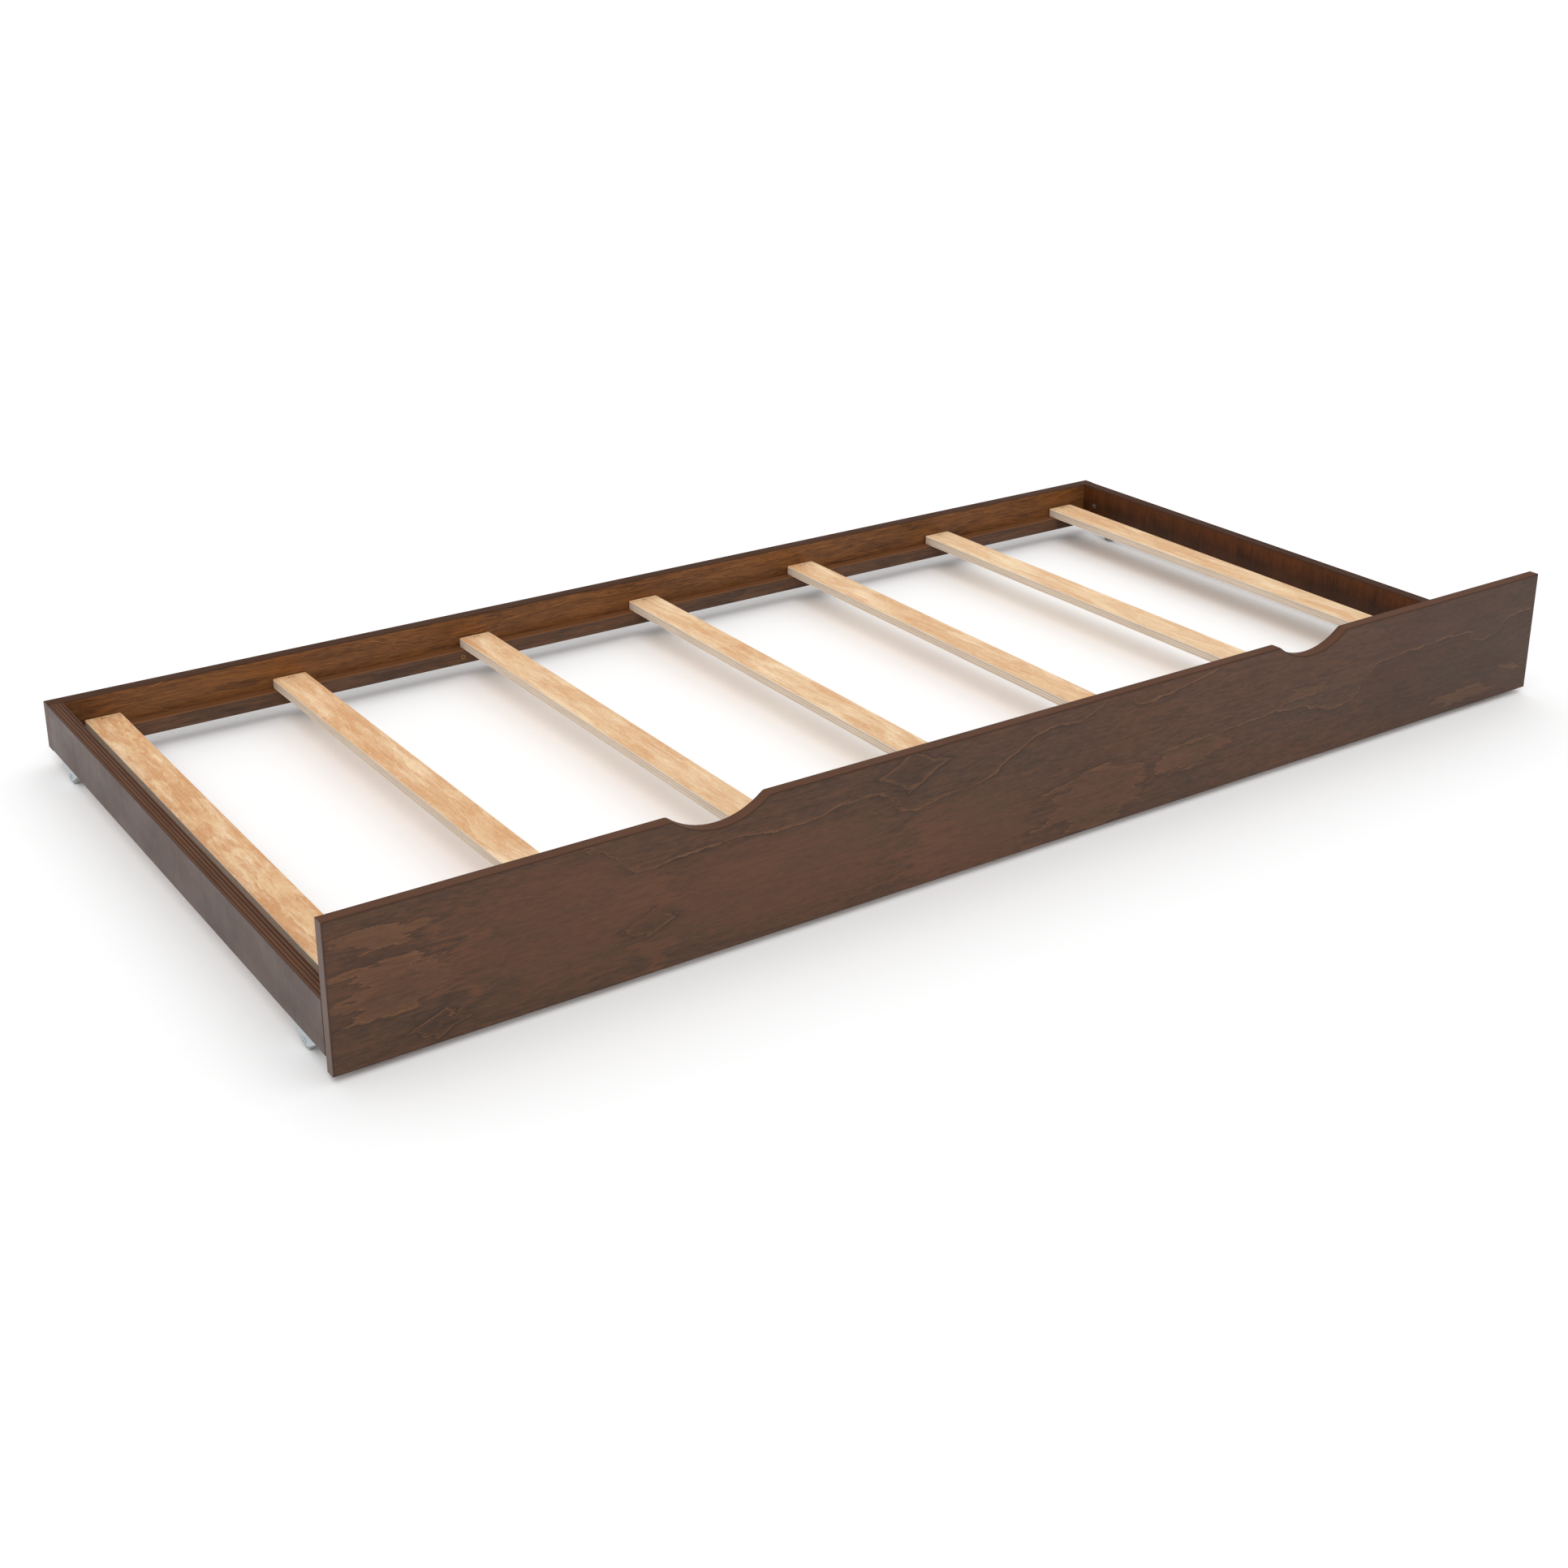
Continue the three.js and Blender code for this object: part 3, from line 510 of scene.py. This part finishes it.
# the bare veneer: pale, plain, orange, dark and light
SLAT_TONES = (rgb(232, 206, 168), rgb(222, 184, 138), rgb(202, 146, 96), rgb(158, 104, 64),
              rgb(244, 222, 186))
SLAT_PLIES = (rgb(234, 217, 196), rgb(190, 168, 148), rgb(120, 96, 80))
SLAT_LAYERS = 7
SLAT_SEED, SLAT_SEED_STEP = 70.0, 7.0
SLAT_WARMTH_AND_SHADE = (1.8, 0.85, 0.4, 0.5, 0.4, 0.05, 0.3)    # how orange each slat's veneer is; the first slat's high value is also painted shade, darker beside the left board
SLAT_RINGS, SLAT_STRETCH, SLAT_RING_LINE = 5.0, (2.6, 14.0), 0.0009
CRUSHED_WOOD = rgb(96, 70, 46)
DENT_OUTER, DENT_INNER = 0.0028, 0.0012    # metres from a staple's leg


def staple_dents(t, colour, number, fleck):
    """The fibres are crushed and dark where the staples' legs went in."""
    for end in ("front", "back"):
        low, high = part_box(f"staple_{number}_{end}")
        middle_y = (low.y + high.y) / 2
        for leg_x in (low.x, high.x):
            away = t.node("ShaderNodeVectorMath", {0: t.vector(t.x, t.y, 0.0), 1: (leg_x, middle_y, 0.0)},
                          operation="DISTANCE").outputs["Value"]
            ragged = t.add(away, t.times(fleck, 0.001))
            colour = t.tint(colour, CRUSHED_WOOD, ragged, DENT_OUTER, DENT_INNER, 0.85, smooth=True)
    return colour


def slat_wood(number, warmth_and_shade):
    """Unfinished plywood: a pale veneer with an orange figure, and its plies on the edges."""
    node = f"slat_{number}"
    seed = SLAT_SEED + SLAT_SEED_STEP * number
    t = Tree(node + "_wood")
    low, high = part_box(node)
    pale, plain, orange, dark, light = SLAT_TONES
    grain = Grain(t, t.y, t.x, seed)
    ring, phase, under, over = grain.lines(SLAT_RINGS, SLAT_STRETCH, SLAT_RING_LINE)
    own = t.random(t.add(ring, seed))
    broad = grain.noise((5.0, 24.0), 1.5, detail=4.0)
    cloudy = grain.noise((16.0, 60.0), 4.0, detail=5.0, roughness=0.62)
    cream = grain.noise((6.0, 34.0), 14.0, detail=5.0, roughness=0.6)
    fleck = grain.noise((180.0, 900.0), 6.0, detail=3.0, roughness=0.65)
    streak = grain.noise((12.0, 200.0), 8.0, detail=6.0, roughness=0.7)
    speckle = grain.noise((90.0, 420.0), 24.0, detail=4.0, roughness=0.7)
    flame = grain.noise((9.0, 26.0), 34.0, detail=6.0, roughness=0.6)
    plainer = t.fit(broad, 0.36, 0.62, 0.3 * warmth_and_shade, 0.4 + 0.6 * warmth_and_shade, smooth=True)
    colour = t.mix(plainer, pale, plain)
    colour = t.tint(colour, orange, own, 0.2, 1.0, 0.2 + 0.4 * warmth_and_shade)
    colour = t.tint(colour, orange, flame, 0.49, 0.53, 0.25 + 0.35 * warmth_and_shade, smooth=True)
    colour = t.tint(colour, orange, cloudy, 0.42, 0.66, 0.25 + 0.4 * warmth_and_shade)
    colour = t.tint(colour, light, cream, 0.50, 0.66, 0.6, smooth=True)
    colour = t.tint(colour, orange, phase, 0.5, 1.0, 0.35, smooth=True)
    colour = t.tint(colour, orange, streak, 0.50, 0.70, 0.45)
    colour = t.tint(colour, light, streak, 0.48, 0.30, 0.4)
    colour = t.tint(colour, orange, speckle, 0.50, 0.70, 0.3)
    colour = t.tint(colour, light, speckle, 0.50, 0.30, 0.3)
    colour = t.tint(colour, dark, fleck, 0.56, 0.72, 0.2 + 0.15 * warmth_and_shade, smooth=True)
    colour = t.mix(t.times(under, 0.16), colour, dark)
    colour = t.mix(t.times(over, 0.3), colour, light)
    colour = staple_dents(t, colour, number, fleck)
    plies, ply_height = ply_edge(t, t.z, low.z, high.z, SLAT_LAYERS, seed, t.add(t.x, t.y), SLAT_PLIES,
                                 wobble=0.05, contrast=0.7, gap_tone=0.9)
    at_edge = t.fit(t.size(t.facing["Z"]), 0.93, 0.6, smooth=True)
    height = t.either(at_edge, t.add(t.times(fleck, -0.5), streak), ply_height)
    rough = t.fit(streak, 0.3, 0.7, 0.55, 0.7)
    finish_wood(node, t, t.mix(at_edge, colour, plies), height, rough, specular=0.35, bump=0.3)


for slat_number, slat_warmth_and_shade in enumerate(SLAT_WARMTH_AND_SHADE, start=1):
    slat_wood(slat_number, slat_warmth_and_shade)


# ---------- metal and plastic ----------
ROLLED_PER_METRE = (900.0, 135.0, 900.0)    # the fine lines of rolled steel run along Y
DULL_SHARE = 0.55
FINE_BUMP = 0.0001


def metal(name, clean, rough, stain=0.25):
    """Plated or bare steel with a fine rolled grain and a few dull patches."""
    t = Tree(name)
    brushed = t.noise(t.stretched(ROLLED_PER_METRE), detail=3.0)
    patch = t.noise(t.place, scale=120.0, detail=4.0, roughness=0.6)
    dull = tuple(channel * DULL_SHARE for channel in clean[:3]) + (1.0,)
    roughness = t.add(t.fit(brushed, 0.3, 0.7, rough - 0.08, rough + 0.1), t.times(patch, 0.08))
    t.set(Base_Color=t.tint(clean, dull, patch, 0.42, 0.7, stain), Roughness=roughness, Metallic=1.0)
    t.bump(brushed, 0.1, FINE_BUMP)
    return t.material


def moulded_nylon():
    """Grey moulded nylon with a faint mould texture and scuffs on the tread."""
    t = Tree("castor_nylon")
    fine = t.noise(t.place, scale=2200.0, detail=2.0)
    scuff = t.noise(t.place, scale=260.0, detail=5.0, roughness=0.7)
    colour = t.tint(rgb(172, 174, 174), rgb(112, 112, 110), scuff, 0.45, 0.72, 0.5)
    t.set(Base_Color=colour, Roughness=t.fit(scuff, 0.3, 0.7, 0.38, 0.6))
    t.bump(fine, 0.15, FINE_BUMP)
    return t.material


zinc = metal("zinc_plate", rgb(196, 204, 208), rough=0.3)
wire = metal("staple_wire", rgb(84, 74, 62), rough=0.45)
yellow_zinc = metal("screw_yellow_zinc", rgb(138, 110, 76), rough=0.42, stain=0.5)
nylon = moulded_nylon()

for name in nodes:
    if name.startswith("castor_"):
        dress(name, nylon if name.endswith("_wheel") else zinc)
    elif name.startswith("staple_"):
        dress(name, wire)
    elif name.startswith("cleat_screw_"):
        dress(name, yellow_zinc)
    elif name.startswith(("corner_", "cam_")):
        dress(name, zinc)


# ---------- the shading of curved edges ----------
SHARP_ANGLE = math.radians(40.0)


def smooth_edges(node):
    """Shades a faceted piece's shallow facets as one curve, without moving them."""
    mesh = nodes[node].data
    mesh.polygons.foreach_set("use_smooth", [True] * len(mesh.polygons))
    mesh.set_sharp_from_angle(angle=SHARP_ANGLE)


for name in nodes:
    smooth_edges(name)


# ---------- floor, light and camera ----------
FLOOR_REACH = 60.0
WORLD_STRENGTH = 0.74
# the key comes from above the front left, and the fill from above the back right
SUNS = (    # name, direction, strength and angle in degrees
    ("key", (0.45, 0.75, -1.0), 1.25, 35.0),
    ("fill", (-0.5, -0.3, -1.0), 0.4, 60.0),
)
CAMERA_PLACE = (-1.6654, -2.3553, 1.2266)
CAMERA_YAW, CAMERA_PITCH = math.radians(34.30), math.radians(20.35)


def stage_floor():
    mesh = bpy.data.meshes.new("floor")
    corners = [(x * FLOOR_REACH, y * FLOOR_REACH, 0) for x, y in ((-1, -1), (1, -1), (1, 1), (-1, 1))]
    mesh.from_pydata(corners, [], [(0, 1, 2, 3)])
    floor = bpy.data.objects.new("floor", mesh)
    bpy.context.scene.collection.objects.link(floor)
    t = Tree("pale_floor")
    cloud = t.noise(t.place, scale=0.4, detail=2.0)
    t.set(Base_Color=t.mix(cloud, (0.93, 0.93, 0.93, 1), (0.95, 0.95, 0.95, 1)), Roughness=0.9,
          Specular_IOR_Level=0.1)
    mesh.materials.append(t.material)


def studio_light():
    world = bpy.data.worlds.new("studio")
    bpy.context.scene.world = world
    world.use_nodes = True
    background = world.node_tree.nodes["Background"]
    background.inputs["Color"].default_value = (1.0, 1.0, 1.0, 1.0)
    background.inputs["Strength"].default_value = WORLD_STRENGTH
    for name, toward, strength, spread in SUNS:
        lamp = bpy.data.lights.new(name, "SUN")
        lamp.energy = strength
        lamp.angle = math.radians(spread)
        lamp_object = bpy.data.objects.new(name, lamp)
        lamp_object.rotation_euler = Vector(toward).to_track_quat("-Z", "Y").to_euler()
        bpy.context.scene.collection.objects.link(lamp_object)


def photo_camera():
    """Stands at the front left, a little above the frame, and looks down along its length."""
    data = bpy.data.cameras.new("camera")
    data.sensor_width = 36.0
    data.lens = 48.52
    data.shift_y = -0.1
    data.clip_end = 200.0
    camera = bpy.data.objects.new("camera", data)
    camera.location = CAMERA_PLACE
    camera.rotation_euler = (math.pi / 2 - CAMERA_PITCH, 0.0, -CAMERA_YAW)
    bpy.context.scene.collection.objects.link(camera)
    bpy.context.scene.camera = camera


stage_floor()
studio_light()
photo_camera()
bpy.context.scene.view_settings.view_transform = "Standard"
